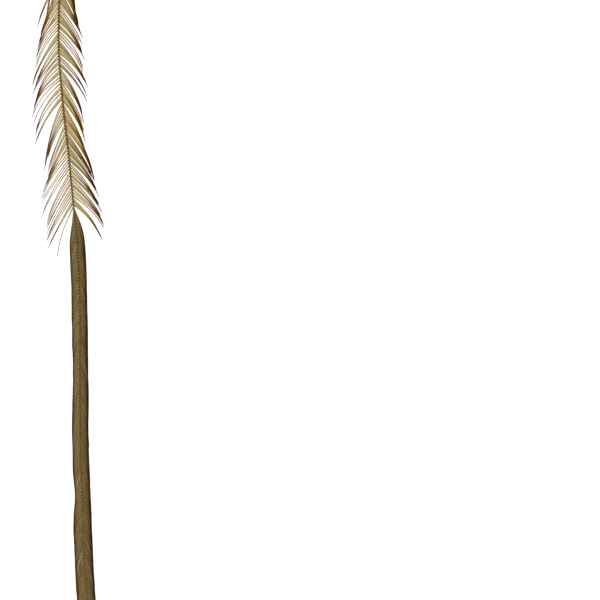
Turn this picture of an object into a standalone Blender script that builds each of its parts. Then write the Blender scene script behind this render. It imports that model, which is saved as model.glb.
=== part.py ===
"""Dry fly hackle feather: one long, narrow rooster hackle, lying flat on its underside.

Metres, +Z up. The feather lies along Y, with the bare quill end at +Y and the tip at -Y.
It is one grown piece: a shaft, an open stretch of vane whose barbs stand out in pointed
locks, and a closed stretch whose barbs lie folded back along the shaft as a narrow blade.
"""

import random

import bmesh
import bpy
from mathutils import Vector

MM = 0.001
FEATHER_NAME = "hackle_feather"

# Driving dimensions along the feather, in millimetres
QUILL_END = 60.0
DOWN_STARTS = 53.5
DOWN_ENDS = 49.5
NEAR_LOCKS_END = 46.0
BLADE_STARTS = 12.4
FEATHER_TIP = -60.0

# The box that the feather fills is centred on X by this shift of the whole layout
CENTRE_SHIFT = 0.89

# Shaft seen from above: (y, x)
SHAFT_LINE = (
    (60.0, -1.20), (50.0, -1.78), (40.0, -2.01), (33.3, -2.07), (26.7, -1.60), (20.0, -0.85),
    (13.3, -0.19), (8.0, 0.28), (2.7, 0.56), (-2.7, 0.68), (-13.3, 0.67), (-20.0, 0.75),
    (-26.7, 1.00), (-34.7, 1.25), (-40.0, 1.64), (-50.0, 2.45), (-60.0, 3.35),
)
# Height of the shaft's centre above the surface that the feather lies on: (y, z)
SHAFT_HEIGHT = (
    (60.0, 0.42), (57.0, 0.43), (50.0, 0.74), (44.0, 0.90), (20.0, 0.90), (12.0, 0.74),
    (4.0, 0.52), (-35.0, 0.46), (-50.0, 0.30), (-60.0, 0.10),
)
# Radius of the shaft: (y, radius)
SHAFT_RADIUS = (
    (60.0, 0.20), (58.8, 0.36), (56.5, 0.40), (52.0, 0.33), (47.0, 0.22), (40.0, 0.15),
    (20.0, 0.125), (0.0, 0.110), (-30.0, 0.090), (-50.0, 0.060), (-60.0, 0.035),
)
SHAFT_STEP = 2.0

# Half widths of the closed blade left and right of the shaft: (y, left, right)
BLADE_WIDTHS = (
    (12.4, 0.05, 0.05), (11.3, 0.20, 0.40), (9.3, 0.64, 0.85), (7.3, 1.00, 1.02),
    (5.0, 1.07, 1.02), (2.0, 1.07, 1.00), (-0.7, 1.10, 0.98), (-3.3, 1.08, 1.03),
    (-6.0, 1.04, 1.04), (-8.7, 0.93, 1.09), (-12.0, 0.96, 1.16), (-14.5, 1.03, 1.16),
    (-17.0, 1.11, 1.09), (-20.0, 1.08, 1.11), (-23.3, 1.11, 1.10), (-26.0, 0.98, 1.13),
    (-29.3, 1.27, 1.14), (-34.0, 1.28, 1.20), (-38.0, 1.36, 1.16), (-42.0, 1.40, 1.14),
    (-46.0, 1.28, 1.10), (-52.0, 0.90, 0.82), (-57.0, 0.42, 0.38), (-60.0, 0.05, 0.05),
)
BLADE_STEP = 2.0
BLADE_EDGE_HEIGHT = 0.16
BLADE_SHOULDER_HEIGHT = 0.36
BLADE_LANDING = 7.0

# Locks of the open vane:
# (root nearest the quill, root nearest the tip, tip x, tip y, gather, bow).
# Gather says how closely the lock's barbs have drawn together at their tips, and bow how far
# its middle barb stands out from the straight line between root and tip at half its length.
LEFT_LOCKS = (
    (46.0, 44.7, -3.07, 38.1, 0.95, 0.32), (44.7, 43.4, -3.93, 36.5, 0.90, 0.35),
    (43.4, 41.9, -5.16, 36.1, 0.90, 0.27), (41.9, 40.0, -5.04, 33.8, 0.90, 0.00),
    (40.0, 38.3, -5.00, 33.9, 0.60, 0.10), (38.3, 37.7, -5.12, 32.8, 0.60, 0.29),
    (37.7, 35.9, -5.35, 30.0, 0.15, 0.52), (35.9, 34.3, -5.80, 28.4, 0.97, 0.40),
    (34.3, 32.3, -5.87, 27.2, 0.80, 0.30), (32.3, 29.6, -5.72, 24.9, 0.90, 0.64),
    (29.6, 29.2, -5.87, 24.0, 0.60, 0.61), (29.2, 28.5, -5.68, 23.1, 0.80, 0.55),
    (28.5, 27.2, -5.43, 21.6, 0.85, 0.57), (27.2, 26.3, -5.43, 20.4, 0.80, 0.41),
    (26.3, 24.3, -4.19, 17.0, 0.90, 0.37), (24.3, 23.4, -3.60, 18.7, 0.70, 0.35),
    (23.4, 22.4, -3.80, 16.7, 0.70, 0.13), (22.4, 20.0, -4.19, 14.6, 0.85, 0.16),
    (20.0, 19.0, -4.69, 13.4, 0.40, 0.29), (19.0, 18.3, -4.73, 12.7, 0.40, 0.12),
    (18.3, 17.1, -4.61, 10.8, 0.70, 0.30), (17.1, 16.0, -3.97, 9.8, 0.60, 0.21),
    (16.0, 14.7, -4.07, 8.6, 0.20, 0.20), (14.7, 13.6, -4.01, 7.6, 0.70, 0.16),
    (13.6, 12.7, -3.76, 6.6, 0.85, 0.13), (12.7, 12.1, -2.48, 5.5, 1.00, 0.29),
)
RIGHT_LOCKS = (
    (46.0, 44.7, 0.13, 37.6, 0.97, 0.39), (44.7, 43.4, 0.27, 36.5, 0.90, 0.25),
    (43.4, 41.4, 0.73, 35.6, 0.95, 0.35), (41.4, 39.5, 1.20, 34.7, 0.95, 0.20),
    (39.5, 38.7, 1.04, 33.9, 0.60, 0.20), (38.7, 37.7, 1.04, 33.2, 0.60, 0.20),
    (37.7, 36.1, 1.37, 31.9, 0.85, 0.37), (36.1, 34.9, 1.20, 30.1, 0.15, 0.45),
    (34.9, 33.2, 1.84, 28.2, 0.97, 0.37), (33.2, 32.8, 1.33, 29.1, 1.00, 0.32),
    (32.8, 31.6, 1.64, 27.1, 0.90, 0.43), (31.6, 31.1, 1.67, 26.3, 0.80, 0.38),
    (31.1, 29.3, 1.27, 23.3, 0.80, 0.56), (29.3, 28.0, 1.29, 22.4, 0.40, 0.30),
    (28.0, 26.3, 1.44, 20.9, 0.85, 0.45), (26.3, 24.4, 1.73, 18.7, 0.95, 0.29),
    (24.4, 22.6, 2.73, 15.7, 0.90, 0.53), (22.6, 21.3, 2.67, 15.9, 0.90, 0.18),
    (21.3, 19.7, 2.93, 14.9, 0.60, 0.20), (19.7, 18.3, 3.29, 13.7, 0.80, 0.40),
    (18.3, 16.3, 3.72, 11.5, 0.80, 0.40), (16.3, 14.7, 4.00, 9.9, 0.75, 0.40),
    (14.7, 13.5, 4.09, 9.4, 0.50, 0.40), (13.5, 12.7, 3.80, 7.8, 0.97, 0.40),
)
LOCK_GATHERED_BY = 0.55
LOCK_HALF_THICKNESS = 0.055
LOCK_ROOT_GAP = 0.06
LOCK_MIN_HALF_WIDTH = 0.06
LOCK_ROOT_OVERLAP = 0.05
LOCK_LIFT = 0.045
LOCK_STATIONS = (0.0, 0.12, 0.26, 0.42, 0.60, 0.78, 0.93)

# Locks nearer the quill than the hand-placed ones
NEAR_LOCK_SPANS = (1.4, 2.8)
NEAR_LOCK_DROP = (5.6, 6.6)
NEAR_LOCK_REACH = (3.1, 3.8)
NEAR_LOCK_BOW = 0.35
DOWN_LOCK_SPANS = (1.1, 1.5)
DOWN_LOCK_DROP = (3.0, 4.4)
DOWN_LOCK_REACH = (2.8, 3.7)
DOWN_LOCK_BOW = 0.30
LAYOUT_SEED = 11


def smooth_through(points, y):
    """Value at y of a smooth curve through (position, value) pairs listed with falling y."""
    if y >= points[0][0]:
        return points[0][1]
    if y <= points[-1][0]:
        return points[-1][1]
    i = next(k for k in range(len(points) - 1) if points[k + 1][0] <= y)
    before = points[max(i - 1, 0)]
    start, end = points[i], points[i + 1]
    after = points[min(i + 2, len(points) - 1)]
    span = end[0] - start[0]
    start_slope = (end[1] - before[1]) / (end[0] - before[0])
    end_slope = (after[1] - start[1]) / (after[0] - start[0])
    t = (y - start[0]) / span
    return ((2 * t**3 - 3 * t**2 + 1) * start[1] + (t**3 - 2 * t**2 + t) * span * start_slope
            + (3 * t**2 - 2 * t**3) * end[1] + (t**3 - t**2) * span * end_slope)


def smooth_step(t):
    """0 to 1 with level ends."""
    t = min(max(t, 0.0), 1.0)
    return t * t * (3.0 - 2.0 * t)


def shaft_point(y):
    """Shaft centre seen from above, in millimetres."""
    return Vector((smooth_through(SHAFT_LINE, y) + CENTRE_SHIFT, y))


def shaft_height(y):
    return smooth_through(SHAFT_HEIGHT, y)


def steps_down(start, end, step):
    """Evenly spaced values from start down to end, about one step apart."""
    count = max(1, round((start - end) / step))
    return [start + (end - start) * k / count for k in range(count + 1)]


def clear_scene():
    for old in list(bpy.data.objects):
        bpy.data.objects.remove(old, do_unlink=True)


def new_collection(name):
    group = bpy.data.collections.new(name)
    bpy.context.scene.collection.children.link(group)
    return group


def feather_material():
    material = bpy.data.materials.new("olive_hackle")
    material.use_nodes = True
    shader = material.node_tree.nodes["Principled BSDF"]
    shader.inputs["Base Color"].default_value = (0.19, 0.13, 0.055, 1.0)
    shader.inputs["Roughness"].default_value = 0.5
    shader.inputs["Metallic"].default_value = 0.0
    return material


def mesh_object(name, points, faces, group):
    """Object from points in millimetres and faces, with its faces turned outward."""
    mesh = bpy.data.meshes.new(name)
    form = bmesh.new()
    corners = [form.verts.new(point * MM) for point in points]
    for face in faces:
        form.faces.new([corners[k] for k in face])
    bmesh.ops.recalc_face_normals(form, faces=form.faces)
    bmesh.ops.triangulate(form, faces=form.faces)
    form.to_mesh(mesh)
    form.free()
    made = bpy.data.objects.new(name, mesh)
    group.objects.link(made)
    return made


def loft(name, sections, apex, group):
    """Closed skin over rings of equal count, flat at the first ring and pointed at the apex.

    Each strip between two rings is split along its diagonal. The strips of the ring's lower
    half are split the other way from the upper ones, so top and bottom mirror each other.
    """
    count = len(sections[0])
    points = [point for ring in sections for point in ring] + [apex]
    faces = [list(range(count))]
    for s in range(len(sections) - 1):
        for k in range(count):
            near, near_next = s * count + k, s * count + (k + 1) % count
            far, far_next = near + count, near_next + count
            if k < count // 2:
                faces += [(near, near_next, far_next), (near, far_next, far)]
            else:
                faces += [(near, near_next, far), (near_next, far_next, far)]
    last = (len(sections) - 1) * count
    for k in range(count):
        faces.append([last + k, last + (k + 1) % count, len(points) - 1])
    return mesh_object(name, points, faces, group)


def make_shaft(group):
    """Tapered shaft: a bevelled curve through the shaft line, made a mesh with welded caps."""
    stations = steps_down(QUILL_END, FEATHER_TIP + 0.3, SHAFT_STEP)
    curve = bpy.data.curves.new("shaft_line", "CURVE")
    curve.dimensions = "3D"
    curve.bevel_depth = MM
    curve.bevel_resolution = 2
    curve.use_fill_caps = True
    line = curve.splines.new("POLY")
    line.points.add(len(stations) - 1)
    for point, y in zip(line.points, stations):
        centre = shaft_point(y)
        point.co = (centre.x * MM, centre.y * MM, shaft_height(y) * MM, 1.0)
        point.radius = smooth_through(SHAFT_RADIUS, y)
    guide = bpy.data.objects.new("shaft_line", curve)
    group.objects.link(guide)
    bpy.context.view_layer.update()
    mesh = bpy.data.meshes.new_from_object(
        guide.evaluated_get(bpy.context.evaluated_depsgraph_get()))
    form = bmesh.new()
    form.from_mesh(mesh)
    bmesh.ops.remove_doubles(form, verts=form.verts, dist=0.002 * MM)
    bmesh.ops.recalc_face_normals(form, faces=form.faces)
    form.to_mesh(mesh)
    form.free()
    mesh.name = FEATHER_NAME
    feather = bpy.data.objects.new(FEATHER_NAME, mesh)
    feather.matrix_world = guide.matrix_world
    group.objects.link(feather)
    bpy.data.objects.remove(guide, do_unlink=True)
    return feather


def make_blade(group):
    """Closed vane: a low roof over a flat underside, as wide as the folded barbs."""
    left_widths = [(y, left) for y, left, right in BLADE_WIDTHS]
    right_widths = [(y, right) for y, left, right in BLADE_WIDTHS]
    sections = []
    for y in steps_down(BLADE_STARTS, FEATHER_TIP + 0.6, BLADE_STEP):
        x = shaft_point(y).x
        top = shaft_height(y)
        left = smooth_through(left_widths, y)
        right = smooth_through(right_widths, y)
        floor = top * smooth_step((y - BLADE_LANDING) / (BLADE_STARTS - BLADE_LANDING)) * 0.9
        low = min(BLADE_EDGE_HEIGHT, 0.4 * top)
        mid = min(BLADE_SHOULDER_HEIGHT, 0.8 * top)
        edge = floor + low * (1.0 - floor / top)
        shoulder = floor + mid * (1.0 - floor / top)
        sections.append([
            Vector((x - left, y, floor)), Vector((x - left, y, edge)),
            Vector((x - 0.5 * left, y, shoulder)), Vector((x, y, top)),
            Vector((x + 0.5 * right, y, shoulder)), Vector((x + right, y, edge)),
            Vector((x + right, y, floor)),
        ])
    tip = shaft_point(FEATHER_TIP)
    return loft("closed_blade", sections, Vector((tip.x, tip.y, 0.05)), group)


def middle_barb(lock, t):
    """Point and direction at t from root to tip of a lock's middle barb.

    It is a quadratic curve that stands out from the straight line by the bow at half length.
    """
    root_high, root_low, tip_x, tip_y, gather, bow = lock
    root = shaft_point(0.5 * (root_high + root_low))
    tip = Vector((tip_x + CENTRE_SHIFT, tip_y))
    chord = tip - root
    side = 1.0 if chord.x > 0 else -1.0
    outward = side * Vector((-chord.y, chord.x)).normalized()
    bend = 0.5 * (root + tip) + 2 * bow * outward
    point = (1 - t) ** 2 * root + 2 * t * (1 - t) * bend + t**2 * tip
    return point, ((1 - t) * (bend - root) + t * (tip - bend)).normalized()


def barb_point(lock, back, t):
    """Point at t from root to tip of the barb rooted `back` nearer the quill than the middle one.

    It is the middle barb's curve shifted along the shaft, by less and less as they gather.
    """
    middle = 0.5 * (lock[0] + lock[1])
    shift = shaft_point(middle + back) - shaft_point(middle)
    gathered = lock[4] * smooth_step(t / LOCK_GATHERED_BY)
    return middle_barb(lock, t)[0] + shift * (1 - gathered)


def lock_height(lock, t):
    """Height of the lock's middle, falling from the shaft to the surface at the tip."""
    root_height = shaft_height(lock[1])
    return root_height + (LOCK_HALF_THICKNESS - root_height) * smooth_step(t) ** 0.8


def make_lock(name, lock, lift, group):
    """One pointed lock: four-sided sections between its first and its last barb."""
    half_span = 0.5 * (lock[0] - lock[1])
    side = 1.0 if lock[2] + CENTRE_SHIFT > shaft_point(lock[1]).x else -1.0
    sections = []
    for t in LOCK_STATIONS:
        along = middle_barb(lock, t)[1]
        across = Vector((-along.y, along.x)) * side
        spread = smooth_step(t / LOCK_GATHERED_BY)
        margin = LOCK_MIN_HALF_WIDTH * spread - LOCK_ROOT_GAP * (1.0 - spread)
        inward = Vector((-side * LOCK_ROOT_OVERLAP, 0.0)) if t == 0.0 else Vector((0.0, 0.0))
        first = barb_point(lock, half_span, t) + across * margin + inward
        middle = barb_point(lock, 0.0, t) + inward
        last = barb_point(lock, -half_span, t) - across * margin + inward
        height = lock_height(lock, t) + lift * (1.0 - t)
        thickness = LOCK_HALF_THICKNESS * (1.0 - 0.5 * t)
        sections.append([
            Vector((first.x, first.y, height)),
            Vector((middle.x, middle.y, height + thickness)),
            Vector((last.x, last.y, height)),
            Vector((middle.x, middle.y, height - thickness)),
        ])
    tip = middle_barb(lock, 1.0)[0]
    return loft(name, sections, Vector((tip.x, tip.y, 0.02)), group)


def row_of_locks(rng, side, start, end, spans, drops, reaches, bow):
    """Locks of one bow that fill the shaft from start down to end, with drawn sizes."""
    locks = []
    high = start
    while high - end > 0.3 * spans[0]:
        low = max(end, high - rng.uniform(*spans))
        x = smooth_through(SHAFT_LINE, low)
        locks.append((high, low, x + side * rng.uniform(*reaches),
                      low - rng.uniform(*drops), rng.uniform(0.55, 0.95), bow))
        high = low
    return locks


def all_locks():
    """Every lock of the open vane, first down by the quill, then near, then hand-placed."""
    rng = random.Random(LAYOUT_SEED)
    locks = []
    for side, placed in ((-1.0, LEFT_LOCKS), (1.0, RIGHT_LOCKS)):
        locks += row_of_locks(rng, side, DOWN_STARTS, DOWN_ENDS,
                              DOWN_LOCK_SPANS, DOWN_LOCK_DROP, DOWN_LOCK_REACH,
                              DOWN_LOCK_BOW)
        locks += row_of_locks(rng, side, DOWN_ENDS, NEAR_LOCKS_END,
                              NEAR_LOCK_SPANS, NEAR_LOCK_DROP, NEAR_LOCK_REACH,
                              NEAR_LOCK_BOW)
        locks += placed
    return locks


def fuse(feather, forms):
    """Join the shaft with every form of the vane in one solid."""
    for form in forms.objects:
        form.hide_render = True
        form.display_type = "WIRE"
    union = feather.modifiers.new("vane", "BOOLEAN")
    union.operation = "UNION"
    union.operand_type = "COLLECTION"
    union.collection = forms
    union.solver = "EXACT"


def build():
    clear_scene()
    group = new_collection("dry_fly_hackle_feather")
    forms = new_collection("vane_forms")
    feather = make_shaft(group)
    make_blade(forms)
    rng = random.Random(LAYOUT_SEED)
    for number, lock in enumerate(all_locks()):
        lift = LOCK_LIFT * (1 if number % 2 else -1) * rng.uniform(0.6, 1.0)
        make_lock(f"lock_{number:02d}", lock, lift, forms)
    fuse(feather, forms)
    feather.data.materials.clear()
    feather.data.materials.append(feather_material())
    feather.data.shade_smooth()


build()
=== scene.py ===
"""Dry fly hackle feather: the finish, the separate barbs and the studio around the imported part.

Sizes are in millimetres until a mesh is written, and the layout is the part's own: the shaft
runs along Y with the bare quill end at +Y, and the feather lies on z = 0.
"""

import logging
import random
from dataclasses import astuple, dataclass, field
from enum import Enum

import bpy
import numpy as np
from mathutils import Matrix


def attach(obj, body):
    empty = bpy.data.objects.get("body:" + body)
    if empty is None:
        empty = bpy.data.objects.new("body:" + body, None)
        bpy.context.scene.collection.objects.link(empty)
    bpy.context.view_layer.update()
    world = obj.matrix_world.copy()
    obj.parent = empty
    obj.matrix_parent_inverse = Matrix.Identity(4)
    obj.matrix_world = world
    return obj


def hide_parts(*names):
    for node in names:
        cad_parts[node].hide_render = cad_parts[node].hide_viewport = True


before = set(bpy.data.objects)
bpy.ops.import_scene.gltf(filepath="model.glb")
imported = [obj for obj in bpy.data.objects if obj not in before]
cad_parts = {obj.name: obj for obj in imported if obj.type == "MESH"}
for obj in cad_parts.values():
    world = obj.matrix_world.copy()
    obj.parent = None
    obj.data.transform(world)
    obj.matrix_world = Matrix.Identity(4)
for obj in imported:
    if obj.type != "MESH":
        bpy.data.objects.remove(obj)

MM = 0.001
NODE = "hackle_feather"
BODY = "root"
BARB_SPACING = 0.42
BARB_LENGTH = 7.0
TONE_LIMIT = 2.0
STRAND_COLUMNS = 4
SPIKE_COLUMNS = 128
LOG = logging.getLogger("hackle")

Array = np.ndarray


class Side(Enum):
    """The vane's side, with the sign of its direction on X."""

    LEFT = -1.0
    RIGHT = 1.0


def smooth_through(points: Array, y: Array) -> Array:
    """Value at y of a smooth curve through listed points.

    Between two points it is the cubic with the slopes that join each point's neighbours.

    Args:
        points: rows of (position, value) with falling position.
        y: positions to read, of any shape.

    Returns:
        The curve's values, in the shape of y.
    """
    position, value = points[::-1, 0], points[::-1, 1]
    low = np.maximum(np.arange(len(position)) - 1, 0)
    high = np.minimum(np.arange(len(position)) + 1, len(position) - 1)
    slope = (value[high] - value[low]) / (position[high] - position[low])
    y = np.clip(y, position[0], position[-1])
    i = np.clip(np.searchsorted(position, y, side="right") - 1, 0, len(position) - 2)
    span = position[i + 1] - position[i]
    t = (y - position[i]) / span
    return ((2 * t**3 - 3 * t**2 + 1) * value[i] + (t**3 - 2 * t**2 + t) * span * slope[i]
            + (3 * t**2 - 2 * t**3) * value[i + 1] + (t**3 - t**2) * span * slope[i + 1])


def smooth_step(t: Array) -> Array:
    """Zero to one with level ends: 3 t squared minus 2 t cubed, held beyond the ends."""
    t = np.clip(t, 0.0, 1.0)
    return t * t * (3.0 - 2.0 * t)


def closing(t: Array) -> Array:
    """Zero to one, steady at first and level at the end: t plus t squared minus t cubed."""
    t = np.clip(t, 0.0, 1.0)
    return t + t**2 - t**3


def late_step(t: Array) -> Array:
    """Zero to one with long level ends: t cubed times (6 t squared - 15 t + 10)."""
    t = np.clip(t, 0.0, 1.0)
    return t**3 * (t * (6.0 * t - 15.0) + 10.0)


def unit(vectors: Array) -> Array:
    """The vectors divided by their lengths."""
    return vectors / np.maximum(np.linalg.norm(vectors, axis=-1, keepdims=True), 1e-9)


def along_and_across(centres: Array) -> tuple[Array, Array]:
    """Unit directions along each strand and, level, across it, from its points.

    Args:
        centres: strand by station by coordinate.

    Returns:
        The directions along and the directions across, both in the shape of centres.
    """
    along = unit(np.gradient(centres, axis=1))
    level = np.stack([-along[..., 1], along[..., 0], np.zeros(along.shape[:2])], axis=-1)
    return along, unit(level)


def roof(out: Array) -> Array:
    """The blade's section from the shaft, 0, to the edge, 1: (1 - out to the 1.6) to the 0.8."""
    return (1.0 - out**1.6) ** 0.8


@dataclass(frozen=True)
class Lock:
    """A run of neighbouring barbs that draw together into one point.

    Heights along the feather are y values. Gather is how closely the barbs draw together, or
    below zero how far they fan out, and bow is how far the middle barb stands out from the
    straight line between its ends.
    """

    root_high: float
    root_low: float
    tip_x: float
    tip_y: float
    gather: float
    bow: float


LEFT_LOCKS = tuple(Lock(*row) for row in (
    (46.0, 44.7, -3.07, 38.1, 0.95, 0.32), (44.7, 43.4, -3.93, 36.5, 0.95, 0.35),
    (43.4, 41.9, -5.16, 36.1, 0.96, 0.33), (41.9, 40.0, -5.04, 33.8, 0.85, 0.20),
    (40.0, 38.3, -5.00, 33.4, 0.60, 0.28), (38.3, 37.7, -5.12, 32.8, 0.60, 0.29),
    (37.7, 35.9, -5.30, 31.6, -0.35, 0.45), (35.9, 34.3, -5.80, 28.4, 0.97, 0.40),
    (34.3, 32.3, -5.87, 27.2, 0.80, 0.30), (32.3, 29.6, -5.72, 24.9, 0.90, 0.64),
    (29.6, 29.2, -5.87, 24.0, 0.60, 0.61), (29.2, 28.5, -5.68, 23.1, 0.80, 0.55),
    (28.5, 27.2, -5.43, 21.6, 0.85, 0.57), (27.2, 26.3, -5.43, 20.4, 0.80, 0.41),
    (26.3, 24.3, -4.19, 17.0, 0.90, 0.37), (24.3, 23.4, -3.60, 18.7, 0.70, 0.35),
    (23.4, 22.4, -3.80, 16.7, 0.70, 0.13), (22.4, 20.0, -4.19, 14.6, 0.85, 0.16),
    (20.0, 19.0, -4.69, 13.4, 0.40, 0.29), (19.0, 18.3, -4.73, 12.7, 0.40, 0.12),
    (18.3, 17.1, -4.61, 10.8, 0.70, 0.30), (17.1, 16.0, -3.97, 9.8, 0.60, 0.21),
    (16.0, 14.7, -4.07, 8.6, 0.20, 0.20), (14.7, 13.6, -4.01, 7.6, 0.70, 0.16),
    (13.6, 12.7, -3.76, 6.6, 0.85, 0.13), (12.7, 12.1, -2.48, 5.5, 1.00, 0.29),
))
RIGHT_LOCKS = tuple(Lock(*row) for row in (
    (46.0, 44.7, 0.13, 37.6, 0.97, 0.39), (44.7, 43.4, 0.27, 36.5, 0.90, 0.25),
    (43.4, 41.4, 0.73, 35.6, 0.95, 0.35), (41.4, 39.5, 1.20, 34.7, 0.95, 0.20),
    (39.5, 38.7, 1.04, 33.9, 0.60, 0.20), (38.7, 37.7, 1.04, 33.2, 0.60, 0.20),
    (37.7, 36.1, 1.37, 31.9, 0.85, 0.37), (36.1, 34.9, 1.15, 30.7, -0.15, 0.40),
    (34.9, 33.2, 1.84, 28.2, 0.96, 0.37), (33.2, 32.8, 1.33, 29.1, 1.00, 0.32),
    (32.8, 31.6, 1.64, 27.1, 0.90, 0.43), (31.6, 31.1, 1.67, 26.3, 0.80, 0.38),
    (31.1, 29.3, 1.27, 23.3, 0.80, 0.56), (29.3, 28.0, 1.29, 22.4, 0.40, 0.30),
    (28.0, 26.3, 1.44, 20.9, 0.85, 0.45), (26.3, 24.4, 1.73, 18.7, 0.95, 0.29),
    (24.4, 22.6, 2.73, 15.7, 0.90, 0.53), (22.6, 21.3, 2.67, 15.9, 0.90, 0.18),
    (21.3, 19.7, 2.93, 14.9, 0.60, 0.20), (19.7, 18.3, 3.29, 13.7, 0.80, 0.40),
    (18.3, 16.3, 3.72, 11.5, 0.80, 0.40), (16.3, 14.7, 4.00, 9.9, 0.75, 0.40),
    (14.7, 13.7, 4.09, 9.4, 0.50, 0.40), (13.7, 12.45, 3.80, 7.8, 0.97, 0.40),
))


@dataclass(frozen=True)
class FeatherPlan:
    """The layout that every piece shares: the shaft's line and height, and the blade's width."""

    quill_end: float = 60.0
    down_starts: float = 53.5
    blade_starts: float = 12.4
    tip: float = -60.0
    centre_shift: float = 0.89
    lining_drop: float = 0.07
    lining_lowest: float = 0.04
    under_height: float = 0.02
    rises_from: float = 5.0
    rises_over: float = 6.0
    line: tuple = (
        (60.0, -1.20), (50.0, -1.78), (40.0, -2.01), (33.3, -2.07), (26.7, -1.60),
        (20.0, -0.85), (13.3, -0.19), (8.0, 0.28), (2.7, 0.56), (-2.7, 0.68), (-13.3, 0.67),
        (-20.0, 0.75), (-26.7, 1.00), (-34.7, 1.25), (-40.0, 1.64), (-50.0, 2.45),
        (-60.0, 3.35),
    )
    height: tuple = (
        (60.0, 0.42), (57.0, 0.43), (50.0, 0.74), (44.0, 0.90), (20.0, 0.90), (12.0, 0.74),
        (4.0, 0.52), (-35.0, 0.46), (-50.0, 0.30), (-60.0, 0.10),
    )
    radius: tuple = (
        (60.0, 0.20), (58.8, 0.36), (56.5, 0.40), (52.0, 0.33), (47.0, 0.22), (40.0, 0.15),
        (20.0, 0.125), (0.0, 0.110), (-30.0, 0.090), (-50.0, 0.060), (-60.0, 0.035),
    )
    widths: tuple = (
        (12.4, 0.05, 0.05), (11.3, 0.20, 0.40), (9.3, 0.64, 0.85), (7.3, 1.00, 1.02),
        (5.0, 1.07, 1.02), (2.0, 1.07, 1.00), (-0.7, 1.10, 0.98), (-3.3, 1.08, 1.03),
        (-6.0, 1.04, 1.04), (-8.7, 0.93, 1.09), (-12.0, 0.96, 1.16), (-14.5, 1.03, 1.16),
        (-17.0, 1.11, 1.09), (-20.0, 1.08, 1.11), (-23.3, 1.11, 1.10), (-26.0, 0.98, 1.13),
        (-29.3, 1.27, 1.14), (-34.0, 1.28, 1.20), (-38.0, 1.36, 1.16), (-42.0, 1.40, 1.14),
        (-46.0, 1.28, 1.10), (-52.0, 0.90, 0.82), (-57.0, 0.42, 0.38), (-60.0, 0.05, 0.05),
    )

    def shaft_x(self, y: Array) -> Array:
        """The shaft's place across the feather at each y."""
        return smooth_through(np.array(self.line), y) + self.centre_shift

    def shaft_z(self, y: Array) -> Array:
        """The height of the shaft's centre at each y."""
        return smooth_through(np.array(self.height), y)

    def shaft_radius(self, y: Array) -> Array:
        """The shaft's radius at each y."""
        return smooth_through(np.array(self.radius), y)

    def shaft_points(self, y: Array) -> Array:
        """The shaft's centre at each y, seen from above, as (x, y) pairs."""
        return np.stack([self.shaft_x(y), y], axis=-1)

    def half_width(self, y: Array, side: Side) -> Array:
        """The closed blade's half width at each y on one side of the shaft."""
        column = 1 if side is Side.LEFT else 2
        return smooth_through(np.array(self.widths)[:, [0, column]], y)

    def rise(self, y: Array) -> Array:
        """Zero where the blade lies flat, and one where its edges start level with the shaft."""
        return smooth_step((y - self.rises_from) / self.rises_over)

    def lining_top(self, y: Array) -> Array:
        """The height of the blade's web under the shaft at each y."""
        return np.maximum(self.shaft_z(y) - self.lining_drop, self.lining_lowest)

    def underside(self, y: Array) -> Array:
        """The height of the blade's underside: flat, and rising to the shaft where it starts.

        Args:
            y: positions along the feather.

        Returns:
            The heights, in the shape of y.
        """
        top = self.lining_top(y)
        flat = np.minimum(self.under_height, top * 0.5)
        return flat + (top - self.under_height - flat) * self.rise(y)


@dataclass(frozen=True)
class LockRow:
    """Locks whose sizes are drawn from ranges, nearer the quill than the placed ones."""

    start: float
    end: float
    spans: tuple[float, float]
    drops: tuple[float, float]
    reaches: tuple[float, float]
    bow: float
    gathers: tuple[float, float] = (0.55, 0.95)
    shortest_span: float = 0.3

    def locks(self, rng: random.Random, plan: FeatherPlan, side: Side) -> tuple[Lock, ...]:
        """Fills the shaft from start down to end.

        Args:
            rng: the source of chance, shared by every row in order.
            plan: the feather's layout.
            side: the side of the shaft.

        Returns:
            The row's locks, from the quill towards the tip.
        """
        made = []
        high = self.start
        while high - self.end > self.shortest_span * self.spans[0]:
            low = max(self.end, high - rng.uniform(*self.spans))
            x = float(smooth_through(np.array(plan.line), np.array(low)))
            tip_x = x + side.value * rng.uniform(*self.reaches)
            tip_y = low - rng.uniform(*self.drops)
            made.append(Lock(high, low, tip_x, tip_y, rng.uniform(*self.gathers), self.bow))
            high = low
        return tuple(made)


DOWN_ROW = LockRow(53.5, 49.5, (1.1, 1.5), (3.0, 4.4), (2.8, 3.7), 0.30)
NEAR_ROW = LockRow(49.5, 46.0, (1.4, 2.8), (5.6, 6.6), (3.1, 3.8), 0.35)
LAYOUT_SEED = 11


@dataclass
class MeshParts:
    """Arrays that make one mesh: points, four-sided and three-sided faces, maps and values."""

    points: Array
    quads: Array
    triangles: Array
    quad_map: Array
    triangle_map: Array
    values: dict[str, Array] = field(default_factory=dict)


def cell_origins(count: int, columns: int) -> tuple[Array, Array]:
    """Corner and size of each strand's cell in a grid that fills the bake map.

    Args:
        count: how many cells are needed.
        columns: cells side by side.

    Returns:
        The cells' low corners, one row each, and the size of one cell.
    """
    rows = int(np.ceil(count / columns))
    size = np.array([1.0 / columns, 1.0 / rows])
    number = np.arange(count)
    return np.stack([number % columns, number // columns], axis=1) * size, size


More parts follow.
